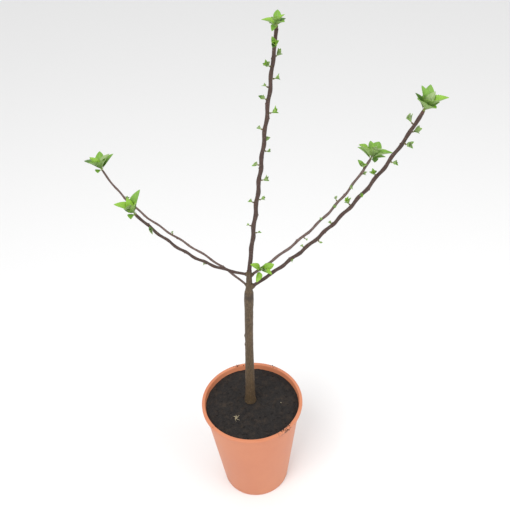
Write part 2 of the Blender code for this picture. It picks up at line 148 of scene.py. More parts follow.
# Limbs: angles in degrees, azimuth from +X towards +Y, the rest up from level
Limb = namedtuple(
    "Limb", "azimuth foot_reach foot_height tip_reach tip_height leave arrive foot_radius tip_radius"
)
LIMBS = {
    "leader": Limb(0.0, 0.0112, 0.6323, 0.0738, 1.1090, 83.0, 83.0, 0.0042, 0.0030),
    "bough_front_left": Limb(205.0, 0.0092, 0.6272, 0.2000, 0.8390, 33.0, 58.6, 0.0027, 0.0024),
    "bough_back_left": Limb(160.0, 0.0100, 0.5960, 0.2761, 0.8173, 41.0, 65.0, 0.0022, 0.0018),
    "bough_front_right": Limb(-20.0, 0.0100, 0.5970, 0.2916, 1.0049, 45.5, 67.0, 0.0034, 0.0029),
    "bough_back_right": Limb(18.0, 0.0092, 0.6210, 0.2495, 0.8149, 24.5, 57.0, 0.0027, 0.0023),
}
FORK_AXIS = Vector((0.0104, 0.0108, 0.0))
INTERNODE = 0.026
KNOT_SWELL = 0.14
WEAVE = 0.0009
CURVE_PULL = 0.36
COLLAR_FOOT_SWELL = 1.55
COLLAR_TOP_SWELL = 1.15
COLLAR_FLARE = 0.4

# Closed buds at the bare joints
BUD_LENGTH = 0.0036
BUD_RADIUS = 0.0011
BUD_SINK = 0.0006
BUD_TURN = 35.0

# Leaves: shares of a blade's length, the turn from leaf to leaf, the angles by which a leaf strays round
# its stem and nods, the pairs of side veins, and how near a leaf's tip its solid's surface has to be
LEAF_WIDTH = 0.46
LEAF_FOLD = 0.42
LEAF_CURL = 0.16
LEAF_STALK = 0.15
LEAF_SHORTEST = 0.62
LEAF_TOOTH = 0.07
VEIN_DEPTH = 0.012
VEIN_PAIRS = 9
SPIRAL = 137.5
LEAF_STRAY = 14.0
LEAF_NOD = 8.0
LEAF_MATCH = 0.0006

# Tufts of leaves: the limb that each grows on, the number of leaves, the longest leaf, the stem's length and
# radius, the first leaf's turn, the lowest and the highest leaf's spread from the stem, how far the stem
# turns up, and the seed
Tuft = namedtuple("Tuft", "limb leaves leaf stem radius turn open closed lift seed")
TIP_TUFTS = {
    "leaves_leader_tip": Tuft("leader", 8, 0.0276, 0.0090, 0.0022, 120.0, 87.0, 30.0, 0.80, 346),
    "leaves_front_left_tip": Tuft(
        "bough_front_left", 6, 0.0415, 0.0101, 0.0021, 134.7, 69.0, 5.0, 0.80, 869
    ),
    "leaves_back_left_tip": Tuft("bough_back_left", 9, 0.0415, 0.0080, 0.0016, 122.7, 67.7, 25.0, 0.80, 470),
    "leaves_front_right_tip": Tuft(
        "bough_front_right", 9, 0.0407, 0.0102, 0.0025, 18.9, 48.4, 22.7, 0.42, 615
    ),
    "leaves_back_right_tip": Tuft("bough_back_right", 9, 0.0460, 0.0080, 0.0019, 0.0, 68.6, 37.3, 0.71, 295),
}

# Leafy spurs along each limb: fraction of the limb's length, turn about it in degrees (0 is the right
# or lower side, 90 the front, 180 the left or upper side), number of leaves, longest leaf and seed
SPURS = {
    "leader": (
        (0.185, 10.0, 1, 0.0080, 1),
        (0.214, 185.0, 1, 0.0070, 2),
        (0.325, 175.0, 2, 0.0110, 3),
        (0.338, -10.0, 2, 0.0110, 4),
        (0.430, 15.0, 2, 0.0140, 5),
        (0.500, 160.0, 2, 0.0130, 6),
        (0.559, 25.0, 2, 0.0090, 7),
        (0.588, -64.8, 2, 0.0150, 300),
        (0.645, 165.0, 1, 0.0090, 9),
        (0.712, 5.0, 2, 0.0150, 10),
        (0.763, 150.0, 2, 0.0155, 993),
        (0.806, 205.0, 1, 0.0090, 12),
        (0.838, 10.0, 2, 0.0120, 660),
        (0.881, 145.0, 3, 0.0175, 458),
        (0.911, -43.4, 3, 0.0148, 660),
        (0.953, 96.5, 3, 0.0190, 20),
    ),
    "bough_front_left": (
        (0.320, 200.0, 1, 0.0060, 1),
        (0.864, 83.0, 1, 0.0130, 517),
    ),
    "bough_back_left": (
        (0.480, 20.0, 1, 0.0060, 1),
        (0.798, 31.5, 2, 0.0095, 458),
    ),
    "bough_front_right": (
        (0.217, 100.0, 1, 0.0070, 1),
        (0.300, 170.0, 1, 0.0070, 2),
        (0.368, 60.0, 1, 0.0070, 3),
        (0.465, 170.0, 2, 0.0080, 503),
        (0.576, 200.0, 3, 0.0150, 325),
        (0.642, 117.6, 3, 0.0089, 660),
        (0.736, 165.0, 3, 0.0140, 184),
        (0.810, 55.0, 3, 0.0135, 660),
        (0.890, 60.0, 3, 0.0165, 20),
        (0.930, -21.9, 3, 0.0168, 771),
        (0.955, 215.0, 2, 0.0170, 325),
    ),
    "bough_back_right": (
        (0.378, 20.0, 1, 0.0080, 1),
        (0.529, 132.2, 3, 0.0075, 660),
        (0.648, 110.5, 3, 0.0086, 20),
        (0.690, 185.0, 2, 0.0090, 325),
        (0.804, 107.1, 1, 0.0099, 458),
        (0.906, -38.7, 3, 0.0119, 204),
        (0.950, 145.0, 1, 0.0200, 651),
    ),
}
SPUR_STEM = 0.0046
SPUR_RADIUS = 0.0012
SPUR_TIP_RADIUS = 0.0006
SPUR_RISE = 38.0
SPUR_OPEN = 42.0
SPUR_CLOSED = 8.0
SMALL_SHOOT = 3
FORK_SHOOT = Tuft("bough_back_right", 6, 0.0320, 0.0147, 0.0014, 125.2, 116.6, 5.0, 0.58, 252)
FORK_SHOOT_FRACTION = 0.040
FORK_SHOOT_TURN = 107.7

# Camera, with the angles in degrees: down from level, right of +Y, and rolled
CAMERA_PLACE = (0.0, -1.0524, 1.5368)
CAMERA_PITCH = 39.2
CAMERA_YAW = 1.28
CAMERA_ROLL = -2.96
CAMERA_LENS = 50.96
CAMERA_SENSOR = 36.0

# Studio: floor, and each light's place and side
FLOOR_SIZE = 8.0
FLOOR_DROP = 0.0004
KEY_PLACE = (-0.9, -1.3, 2.6)
KEY_SIDE = 1.4
FILL_PLACE = (1.8, -1.0, 1.6)
FILL_SIDE = 1.6
LIT_POINT = (0.0, 0.0, 0.5)

# Colours that no setting holds: fresh crumbs' smear, dry grains, and dark and pale parts of small pieces
SMEAR = (0.05, 0.03, 0.02, 1.0)
DRY_GRAIN = (0.11, 0.075, 0.05, 1.0)
STEM_DARK = (0.13, 0.16, 0.035)
SCALE_BROWN = (0.12, 0.055, 0.035)
SCALE_DARK = (0.05, 0.022, 0.016)
WITHERED = (0.50, 0.44, 0.30)
WITHERED_DARK = (0.32, 0.26, 0.16)
FLOOR_SHADE = (0.8, 0.8, 0.8, 1.0)


def colour_setting(name, description, value):
    """Setting for a colour."""
    return FloatVectorProperty(name=name, description=description, subtype="COLOR", size=3, default=value)


def length_setting(name, description, value, low=0.0):
    """Setting for a length."""
    return FloatProperty(name=name, description=description, default=value, min=low, unit="LENGTH")


def count_setting(name, description, value, low, high):
    """Setting for a number of faces, rings or crumbs."""
    return IntProperty(name=name, description=description, default=value, min=low, max=high)


class PotSettings(bpy.types.PropertyGroup):
    """Make and finish of the pot."""

    sides: count_setting("Sides", "Faces round the pot", 144, 24, 256)
    rounding: length_setting("Rounding", "Radius of the lip's edges", 0.0011)
    colour: colour_setting("Colour", "Plastic", (0.56, 0.185, 0.085))
    worn: colour_setting("Worn", "Plastic where it is faded", (0.63, 0.25, 0.13))


class CompostSettings(bpy.types.PropertyGroup):
    """Make and finish of the compost."""

    rings: count_setting("Rings", "Rings of the top's relief", 70, 10, 160)
    crumbs: count_setting("Crumbs", "Loose crumbs on the top", 900, 0, 3000)
    colour: colour_setting("Colour", "Damp compost", (0.0075, 0.0055, 0.0050))
    dry: colour_setting("Dry", "Dry grains and fibres", (0.060, 0.040, 0.026))


class BarkSettings(bpy.types.PropertyGroup):
    """Relief and colours of the bark."""

    sides: count_setting("Sides", "Faces round a limb", 16, 6, 64)
    step: length_setting("Step", "Distance between sections", 0.004, 0.001)
    relief: length_setting("Relief", "Depth of the bark's ridges", 0.00035)
    trunk: colour_setting("Trunk", "Trunk's bark", (0.125, 0.080, 0.035))
    trunk_dark: colour_setting("Trunk dark", "Trunk's dark patches", (0.040, 0.024, 0.014))
    shoot: colour_setting("Shoot", "Bark of the front shoots", (0.075, 0.034, 0.027))
    grey: colour_setting("Grey", "Bark of the back shoots", (0.155, 0.105, 0.090))
    pale: colour_setting("Pale", "Pores and scars", (0.30, 0.23, 0.17))


class LeafSettings(bpy.types.PropertyGroup):
    """Make and colours of the leaves."""

    rows: count_setting("Rows", "Faces along a blade", 24, 4, 60)
    columns: count_setting("Columns", "Faces across a blade", 6, 2, 20)
    thickness: length_setting("Thickness", "Thickness of a blade", 0.00035)
    # Partly the young leaves' own colour and partly painted light on the upper, sunlit leaves
    bright: colour_setting("Bright", "Sunlit young leaf", (0.24, 0.46, 0.030))
    spring: colour_setting("Spring", "Spring green leaf", (0.17, 0.36, 0.028))
    # Painted shade: the darkest green is the colour of leaves lying in shadow low in a tuft
    shaded: colour_setting("Shaded", "Leaf in painted shade", (0.085, 0.20, 0.022))
    downy: colour_setting("Downy", "Young leaf and underside", (0.30, 0.42, 0.16))
    stalk: colour_setting("Stalk", "Stalks and stems", (0.24, 0.27, 0.055))


class StudioSettings(bpy.types.PropertyGroup):
    """Light and floor."""

    floor: colour_setting("Floor", "Plain pale floor", (0.86, 0.86, 0.86))
    key: FloatProperty(name="Key", description="Power of the key light", default=42.0, unit="POWER")
    fill: FloatProperty(name="Fill", description="Power of the fill light", default=16.0, unit="POWER")
    sky: FloatProperty(name="Sky", description="Strength of the white surround", default=0.85)


def mix(low, high, share):
    """Value a share of the way from low to high."""
    return low + (high - low) * share


def girth(stations, share):
    """Radius at a share of the length, eased between the named stations."""
    for (start, low), (end, high) in zip(stations, stations[1:]):
        if share <= end:
            local = (share - start) / (end - start)
            eased = local * local * (3.0 - 2.0 * local)
            return mix(low, high, eased)
    return stations[-1][1]


def section_frame(point, tangent, across_axis):
    """Matrix at a point with X across, Y away from the front and Z along the tangent."""
    side = (across_axis - tangent * across_axis.dot(tangent)).normalized()
    away = tangent.cross(side)
    made = Matrix((side, away, tangent)).transposed().to_4x4()
    made.translation = point
    return made


def bezier(foot, tip, leave, arrive, share):
    """Point on the curve between two (reach, height) ends with the named slopes."""
    pull = (tip - foot).length * CURVE_PULL
    near = foot + pull * Vector((math.cos(math.radians(leave)), math.sin(math.radians(leave))))
    far = tip - pull * Vector((math.cos(math.radians(arrive)), math.sin(math.radians(arrive))))
    rest = 1.0 - share
    outer = foot * rest**3 + tip * share**3
    return outer + near * (3.0 * rest * rest * share) + far * (3.0 * rest * share * share)


def trunk_point(share):
    """Point on the trunk's axis."""
    foot = Vector((TRUNK_FOOT.x, TRUNK_FOOT.z))
    top = Vector((TRUNK_TOP.x, TRUNK_TOP.z))
    place = bezier(foot, top, TRUNK_LEAVE, TRUNK_ARRIVE, share)
    return Vector((place.x, TRUNK_FOOT.y, place.y))


def trunk_tangent(share):
    """Direction of the trunk's axis."""
    low = trunk_point(max(0.0, share - 0.01))
    high = trunk_point(min(1.0, share + 0.01))
    return (high - low).normalized()


def limb_length(name):
    """Rough length of a limb, from foot to tip."""
    limb = LIMBS[name]
    run = limb.tip_reach - limb.foot_reach
    rise = limb.tip_height - limb.foot_height
    return math.hypot(run, rise) * 1.02


def limb_point(name, share):
    """Point on a limb's axis, with the slight zigzag from bud to bud."""
    limb = LIMBS[name]
    foot = Vector((limb.foot_reach, limb.foot_height))
    tip = Vector((limb.tip_reach, limb.tip_height))
    place = bezier(foot, tip, limb.leave, limb.arrive, share)
    turn = math.radians(limb.azimuth)
    outward = Vector((math.cos(turn), math.sin(turn), 0.0))
    sideways = Vector((-math.sin(turn), math.cos(turn), 0.0))
    centre = Vector((0.0, FORK_AXIS.y, 0.0)) if name == "leader" else FORK_AXIS
    point = centre + outward * place.x + Vector((0.0, 0.0, place.y))
    nodes = share * limb_length(name) / INTERNODE
    ease = min(1.0, share * 6.0) * min(1.0, (1.0 - share) * 6.0)
    swing = WEAVE * ease
    lift = Vector((-outward.x, -outward.y, 0.4))
    return point + sideways * swing * math.sin(math.pi * nodes) + lift * swing * math.cos(math.pi * nodes)


def limb_tangent(name, share):
    """Direction of growth, smoothed over the zigzag."""
    step = 0.02
    low = max(0.0, share - step)
    high = min(1.0, share + step)
    return (limb_point(name, high) - limb_point(name, low)).normalized()


def across(tangent):
    """The limb's right or lower side, seen from the front."""
    return Vector((0.0, 1.0, 0.0)).cross(tangent).normalized()


def round_section(centre, tangent, radius):
    """Matrix of a round section of a limb or stem."""
    return section_frame(centre, tangent, across(tangent)) @ Matrix.Scale(radius, 4)


def limb_radius(name, share):
    """Tapering radius with a swelling at each bud."""
    limb = LIMBS[name]
    nodes = share * limb_length(name) / INTERNODE
    knot = 0.5 + 0.5 * math.cos(math.tau * nodes)
    ease = min(1.0, share * 8.0)
    return mix(limb.foot_radius, limb.tip_radius, share) * (1.0 + KNOT_SWELL * knot * ease)


def side_spot(limb_name, fraction, turn):
    """Spot just clear of a limb's side, with the directions outward and of the shoot that grows there."""
    tangent = limb_tangent(limb_name, fraction)
    right = across(tangent)
    away = tangent.cross(right)
    angle = math.radians(turn)
    outward = right * math.cos(angle) - away * math.sin(angle)
    limb = LIMBS[limb_name]
    widest = mix(limb.foot_radius, limb.tip_radius, fraction) * (1.0 + KNOT_SWELL)
    base = limb_point(limb_name, fraction) + outward * (widest + GAP)
    rise = math.radians(SPUR_RISE)
    aim = (outward * math.cos(rise) + tangent * math.sin(rise)).normalized()
    return base, outward, aim


def lifted(aim, lift):
    """A direction of growth turned up towards the light."""
    return (aim + Vector((0.0, 0.0, lift))).normalized()


def stem_point(base, start, aim, length, share):
    """Point on a stem that leaves its foot one way and bends to the way it aims."""
    return base + (start * share * (1.0 - share / 2.0) + aim * share * share / 2.0) * length


def leaf_plan(tuft, base, aim, start):
    """Matrices and lengths of a tuft's leaves, set round its stem by the seeded spiral."""
    draw = random.Random(tuft.seed)
    plan = []
    for index in range(tuft.leaves):
        share = (index + 0.5) / tuft.leaves
        turn = math.radians(tuft.turn + SPIRAL * index + draw.uniform(-LEAF_STRAY, LEAF_STRAY))
        spread = math.radians(mix(tuft.open, tuft.closed, share) + draw.uniform(-LEAF_NOD, LEAF_NOD))
        size = LEAF_SHORTEST + (1.0 - LEAF_SHORTEST) * math.sin(math.pi * share)
        length = tuft.leaf * size * draw.uniform(0.82, 1.0)
        root = stem_point(base, start, aim, tuft.stem, mix(0.35, 0.96, share))
        plan.append((leaf_place(root, aim, turn, spread), length))
    return plan


def leaf_place(root, aim, turn, spread):
    """Matrix of a leaf that leaves a stem at a turn about it and a spread from it."""
    outward = Vector((math.cos(turn), math.sin(turn), 0.0))
    up = Vector((0.0, 0.0, 1.0))
    growth = outward * math.sin(spread) + up * math.cos(spread)
    upper = up * math.sin(spread) - outward * math.cos(spread)
    local = Matrix((growth, upper.cross(growth), upper)).transposed().to_4x4()
    return section_frame(root, aim, across(aim)) @ local


Shoot = namedtuple("Shoot", "node tuft base aim start")


def all_shoots():
    """Every leafy shoot of the tree: tips, the shoot at the fork, then the spurs."""
    shoots = []
    for name, tuft in TIP_TUFTS.items():
        tangent = limb_tangent(tuft.limb, 1.0)
        base = limb_point(tuft.limb, 1.0) + tangent * GAP
        shoots.append(Shoot(name, tuft, base, lifted(tangent, tuft.lift), tangent))
    base, outward, aim = side_spot(FORK_SHOOT.limb, FORK_SHOOT_FRACTION, FORK_SHOOT_TURN)
    shoots.append(Shoot("leaves_fork", FORK_SHOOT, base, lifted(aim, FORK_SHOOT.lift), outward))
    for limb_name, rows in SPURS.items():
        for index, (fraction, turn, leaves, leaf, seed) in enumerate(rows):
            spread = (SPUR_OPEN, SPUR_CLOSED)
            spur = Tuft(limb_name, leaves, leaf, SPUR_STEM, SPUR_RADIUS, turn, *spread, 0.0, seed)
            base, outward, aim = side_spot(limb_name, fraction, turn)
            short_name = limb_name.replace("bough_", "")
            shoots.append(Shoot(f"spur_{short_name}_{index + 1:02d}", spur, base, aim, outward))
    return shoots


def solid_tree(node):
    """Search tree over a solid's faces."""
    bm = bmesh.new()
    bm.from_mesh(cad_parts[node].data)
    tree = BVHTree.FromBMesh(bm)
    bm.free()
    return tree


def kept_leaves(shoot):
    """The planned leaves that the shoot's solid has, found by their tips."""
    tree = solid_tree(shoot.node)
    kept = []
    for place, length in leaf_plan(shoot.tuft, shoot.base, shoot.aim, shoot.start):
        tip = place @ Vector((length, 0.0, -LEAF_CURL * length))
        if tree.find_nearest(tip, LEAF_MATCH)[0] is not None:
            kept.append((place, length))
    return kept


def grow(bm, sections, sides, skin=None):
    """Add a closed body through sections, each a matrix that carries a unit circle to its place.

    skin, if given, gets each vertex with its section's number and angle once the body is whole.
    """
    made = bmesh.ops.create_circle(bm, cap_ends=True, radius=1.0, segments=sides, matrix=sections[0])
    bottom = made["verts"][0].link_faces[0]
    face = bottom
    marks = note_ring(sections[0], face, 0) if skin else []
    for index, (before, after) in enumerate(zip(sections, sections[1:])):
        grown = bmesh.ops.extrude_face_region(bm, geom=[face])["geom"]
        if face is not bottom:
            bmesh.ops.delete(bm, geom=[face], context="FACES_ONLY")
        face = next(item for item in grown if isinstance(item, bmesh.types.BMFace))
        bmesh.ops.transform(bm, matrix=after @ before.inverted(), verts=face.verts[:])
        if skin:
            marks += note_ring(after, face, index + 1)
    for vert, number, angle in marks:
        skin(vert, number, angle)


def note_ring(section, face, number):
    """The vertices of a ring with the section's number and their angles round it."""
    back = section.inverted()
    marks = []
    for vert in face.verts:
        local = back @ vert.co
        marks.append((vert, number, math.atan2(local.y, local.x)))
    return marks


def into_scene(name, data):
    """Object with the given data, put into the scene."""
    made = bpy.data.objects.new(name, data)
    bpy.context.scene.collection.objects.link(made)
    return made


def mesh_object(name, bm, finishes=()):
    """Object with a bmesh as its mesh, put into the scene."""
    mesh = bpy.data.meshes.new(name)
    bm.to_mesh(mesh)
    bm.free()
    for finish in finishes:
        mesh.materials.append(finish)
    return into_scene(name, mesh)


def finish_piece(name, bm, finishes, nodes=(), sharp=50.0):
    """Turn a bmesh into a named piece that rides on the tree."""
    bmesh.ops.recalc_face_normals(bm, faces=bm.faces[:])
    piece = mesh_object(name, bm, finishes)
    piece.data.shade_smooth()
    piece.data.set_sharp_from_angle(angle=math.radians(sharp))
    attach(piece, "root")
    if nodes:
        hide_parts(*nodes)
    return piece


def feed(tree, socket, value):
    """Link a socket to a socket, or set it to a value."""
    if isinstance(value, bpy.types.NodeSocket):
        tree.links.new(value, socket)
    else:
        socket.default_value = value


def value_of(tree, kind, output, inputs, **options):
    """Output of a new node, with its options set and its inputs fed."""
    node = tree.nodes.new("ShaderNode" + kind)
    for name, option in options.items():
        setattr(node, name, option)
    for name, value in inputs.items():
        feed(tree, node.inputs[name], value)
    return node.outputs[output]


def noise_of(tree, vector, scale, detail=4.0, roughness=0.6):
    """Noise texture's value."""
    inputs = {"Vector": vector, "Scale": scale, "Detail": detail, "Roughness": roughness}
    return value_of(tree, "TexNoise", "Fac", inputs)


def cells_of(tree, vector, scale):
    """Distance to the nearest point of a scatter."""
    return value_of(tree, "TexVoronoi", "Distance", {"Vector": vector, "Scale": scale})


def ramp(tree, value, low, high, start=0.0, end=1.0):
    """Value mapped from low..high to start..end and clamped."""
    inputs = {"Value": value, "From Min": low, "From Max": high, "To Min": start, "To Max": end}
    return value_of(tree, "MapRange", "Result", inputs)


def blend(tree, share, low, high):
    """Colour between two colours."""
    return value_of(tree, "Mix", 2, {0: share, 6: low, 7: high}, data_type="RGBA")


def math_of(tree, kind, first, second=0.0):
    """Result of a named operation on one or two values."""
    return value_of(tree, "Math", 0, {0: first, 1: second}, operation=kind)


def axis_of(tree, vector, axis):
    """One part of a vector."""
    return value_of(tree, "SeparateXYZ", axis, {0: vector})


def stretched(tree, vector, scale):
    """Vector scaled along its axes."""
    return value_of(tree, "Mapping", "Vector", {"Vector": vector, "Scale": scale})


def object_place(tree):
    """Object coordinates."""
    return value_of(tree, "TexCoord", "Object", {})


def new_material(name):
    """Material with one Principled shader, its tree and the shader."""
    made = bpy.data.materials.new(name)
    made.use_nodes = True
    return made, made.node_tree, made.node_tree.nodes["Principled BSDF"]


def coat(tree, shader, colour, roughness, height, strength, depth):
    """Give a shader its colour, its roughness and a bump from a height."""
    inputs = {"Strength": strength, "Distance": depth, "Height": height}
    feed(tree, shader.inputs["Base Color"], colour)
    feed(tree, shader.inputs["Roughness"], roughness)
    feed(tree, shader.inputs["Normal"], value_of(tree, "Bump", "Normal", inputs))


def rgba(colour):
    """Colour with full opacity."""
    return (*colour, 1.0)


def new_group(name, values, outputs):
    """Node group that takes a vector and named values, its incoming vector and values, and its end."""
    tree = bpy.data.node_groups.new(name, "ShaderNodeTree")
    tree.interface.new_socket("Vector", in_out="INPUT", socket_type="NodeSocketVector")
    for label, value in values.items():
        socket = tree.interface.new_socket(label, in_out="INPUT", socket_type="NodeSocketFloat")
        socket.default_value = value
    for label in outputs:
        tree.interface.new_socket(label, in_out="OUTPUT", socket_type="NodeSocketFloat")
    return tree, tree.nodes.new("NodeGroupInput").outputs, tree.nodes.new("NodeGroupOutput").inputs


def grain_group():
    """Group for bark: streaks along the limb, pale pores, and their height."""
    tree, given, end = new_group("Bark Grain", {"Streaks": 0.6, "Pores": 0.35}, ("Streak", "Pore", "Height"))
    vector = given["Vector"]
    streak = noise_of(tree, stretched(tree, vector, (1.0, 1.0, 0.22)), given["Streaks"], 6.0, 0.65)
    cells = cells_of(tree, stretched(tree, vector, (0.7, 0.7, 1.3)), given["Pores"])
    pore = ramp(tree, cells, 0.10, 0.24, 1.0, 0.0)
    feed(tree, end["Streak"], streak)
    feed(tree, end["Pore"], pore)
    feed(tree, end["Height"], math_of(tree, "ADD", streak, math_of(tree, "MULTIPLY", pore, 0.5)))
    return tree


def mottle_group():
    """Group for grainy surfaces: broad patches, fine specks, and their height."""
    tree, given, end = new_group("Mottle", {"Patches": 12.0, "Specks": 400.0}, ("Patch", "Speck", "Height"))
    vector = given["Vector"]
    cells = cells_of(tree, vector, given["Specks"])
    feed(tree, end["Patch"], noise_of(tree, vector, given["Patches"], 5.0, 0.6))
    feed(tree, end["Speck"], ramp(tree, cells, 0.12, 0.30, 1.0, 0.0))
    feed(tree, end["Height"], noise_of(tree, vector, given["Specks"], 3.0, 0.55))
    return tree


GROUP_MAKERS = {"Bark Grain": grain_group, "Mottle": mottle_group}


def placed(tree, name, vector, **values):
    """Outputs of a shared group put into a material with its own values; the group is built once."""
    node = tree.nodes.new("ShaderNodeGroup")
    node.node_tree = bpy.data.node_groups.get(name) or GROUP_MAKERS[name]()
    feed(tree, node.inputs["Vector"], vector)
    for label, value in values.items():
        node.inputs[label].default_value = value
    return node.outputs


def plastic_material(settings):
    """Terracotta-coloured plastic, faintly faded, with a fine moulded grain and a smear of compost."""
    made, tree, shader = new_material("pot plastic")
    place = object_place(tree)
    mottle = placed(tree, "Mottle", place, Patches=9.0, Specks=900.0)
    share = ramp(tree, mottle["Patch"], 0.35, 0.75, 0.0, 0.8)
    colour = blend(tree, share, rgba(settings.colour), rgba(settings.worn))
    centre = rim_spot(SPILLS[0].azimuth, POT_RIM_RADIUS, POT_HEIGHT - 0.006)
    distance = value_of(tree, "VectorMath", "Value", {0: place, 1: centre}, operation="DISTANCE")
    smear = ramp(tree, distance, 0.004, 0.030, 1.0, 0.0)
    broken = ramp(tree, noise_of(tree, place, 260.0, 5.0, 0.7), 0.50, 0.62)
    colour = blend(tree, math_of(tree, "MULTIPLY", smear, broken), colour, SMEAR)
    roughness = ramp(tree, mottle["Patch"], 0.3, 0.8, 0.42, 0.58)
    coat(tree, shader, colour, roughness, mottle["Height"], 0.18, 0.0002)
    return made


def compost_material(settings):
    """Dark damp compost with drier grains."""
    made, tree, shader = new_material("compost")
    mottle = placed(tree, "Mottle", object_place(tree), Patches=70.0, Specks=520.0)
    share = ramp(tree, mottle["Patch"], 0.50, 0.85, 0.0, 0.75)
    colour = blend(tree, share, rgba(settings.colour), rgba(settings.dry))
    colour = blend(tree, math_of(tree, "MULTIPLY", mottle["Speck"], 0.5), colour, DRY_GRAIN)
    roughness = ramp(tree, mottle["Patch"], 0.3, 0.8, 0.82, 0.98)
    coat(tree, shader, colour, roughness, mottle["Height"], 0.8, 0.0008)
    return made


def bark_material(name, colour, dark, pale, graft=False):
    """Young bark: streaked along the limb, with pale pores, and a dark band at the graft on the trunk."""
    made, tree, shader = new_material(name)
    place = value_of(tree, "Attribute", "Vector", {}, attribute_name="grain")
    grain = placed(tree, "Bark Grain", place, Streaks=0.55, Pores=0.33)
    shade = blend(tree, ramp(tree, grain["Streak"], 0.35, 0.66), rgba(dark), rgba(colour))
    broad = ramp(tree, noise_of(tree, place, 0.06, 3.0, 0.5), 0.38, 0.62)
    shade = blend(tree, math_of(tree, "MULTIPLY", broad, 0.45), shade, rgba([0.5 * part for part in colour]))
    shade = blend(tree, math_of(tree, "MULTIPLY", grain["Pore"], 0.55), shade, rgba(pale))
    if graft:
        shade = blend(tree, graft_band(tree), shade, rgba(dark))
    roughness = ramp(tree, grain["Streak"], 0.3, 0.7, 0.72, 0.50)
    coat(tree, shader, shade, roughness, grain["Height"], 0.6, 0.0004)
    return made


def graft_band(tree):
    """Mask of the dark ring where the tree was grafted, by height."""
    place = object_place(tree)
    wander = ramp(tree, noise_of(tree, place, 60.0, 3.0), 0.3, 0.7, -0.004, 0.004)
    height = math_of(tree, "ADD", axis_of(tree, place, "Z"), wander)
    offset = math_of(tree, "ABSOLUTE", math_of(tree, "SUBTRACT", height, GRAFT_HEIGHT))
    return ramp(tree, offset, 0.003, 0.010, 0.85, 0.0)


def leaf_material(name, colour, paler, roughness=0.46):
    """Leaf with a paler midrib and side veins, on the blade's own map."""
    made, tree, shader = new_material(name)
    blade = value_of(tree, "UVMap", "UV", {}, uv_map="blade")
    side = math_of(tree, "ABSOLUTE", math_of(tree, "SUBTRACT", axis_of(tree, blade, "Y"), 0.5))
    midrib = ramp(tree, side, 0.012, 0.040, 1.0, 0.0)
    slant = math_of(tree, "SUBTRACT", axis_of(tree, blade, "X"), math_of(tree, "MULTIPLY", side, 0.55))
    wave = math_of(tree, "SINE", math_of(tree, "MULTIPLY", slant, math.tau * VEIN_PAIRS))
    veins = math_of(tree, "MULTIPLY", ramp(tree, wave, 0.80, 1.0), 0.55)
    rib = math_of(tree, "MAXIMUM", midrib, veins)
    mottle = ramp(tree, noise_of(tree, object_place(tree), 160.0, 4.0), 0.32, 0.70)
    shade = blend(tree, mottle, rgba([0.78 * part for part in colour]), rgba(colour))
    shade = blend(tree, math_of(tree, "MULTIPLY", rib, 0.5), shade, rgba(paler))
    height = math_of(tree, "SUBTRACT", mottle, math_of(tree, "MULTIPLY", rib, 1.5))
    coat(tree, shader, shade, ramp(tree, mottle, 0.0, 1.0, roughness + 0.08, roughness), height, 0.35, 0.0003)
    return made


def fibre_material(name, colour, dark, roughness):
    """Streaky plant fibre for stalks, bud scales and withered bits."""
    made, tree, shader = new_material(name)
    mottle = placed(tree, "Mottle", object_place(tree), Patches=300.0, Specks=1500.0)
    shade = blend(tree, ramp(tree, mottle["Patch"], 0.35, 0.65), rgba(dark), rgba(colour))
    gloss = ramp(tree, mottle["Patch"], 0.3, 0.7, roughness + 0.1, roughness)
    coat(tree, shader, shade, gloss, mottle["Height"], 0.3, 0.0002)
    return made


def rim_spot(azimuth, radius, height):
    """Point at a direction, radius and height."""
    turn = math.radians(azimuth)
    return Vector((radius * math.cos(turn), radius * math.sin(turn), height))


def pot_inner_radius(height):
    """Radius of the pot's inner wall at a height."""
    low = POT_BASE_RADIUS - POT_WALL
    high = POT_RIM_RADIUS - POT_RIM_WIDTH
    share = (height - POT_FLOOR) / (POT_HEIGHT - POT_EDGE - POT_FLOOR)
    return mix(low, high, share)


def spin_profile(bm, profile, sides):
    """Closed surface turned about Z from a profile of (radius, height) that starts and ends on the axis."""
    verts = [bm.verts.new((radius, 0.0, height)) for radius, height in profile]
    edges = [bm.edges.new(pair) for pair in zip(verts, verts[1:])]
    axis = {"cent": (0.0, 0.0, 0.0), "axis": (0.0, 0.0, 1.0), "angle": math.tau}
    bmesh.ops.spin(bm, geom=verts + edges, steps=sides, use_merge=True, **axis)
    bmesh.ops.remove_doubles(bm, verts=bm.verts[:], dist=0.00001)


def edge_ring(bm, radius, height):
    """Edges of the circle at a radius and height."""
    on_circle = {
        vert
        for vert in bm.verts
        if abs(vert.co.z - height) < HAIR and abs(vert.co.xy.length - radius) < HAIR
    }
    return [edge for edge in bm.edges if on_circle.issuperset(edge.verts)]


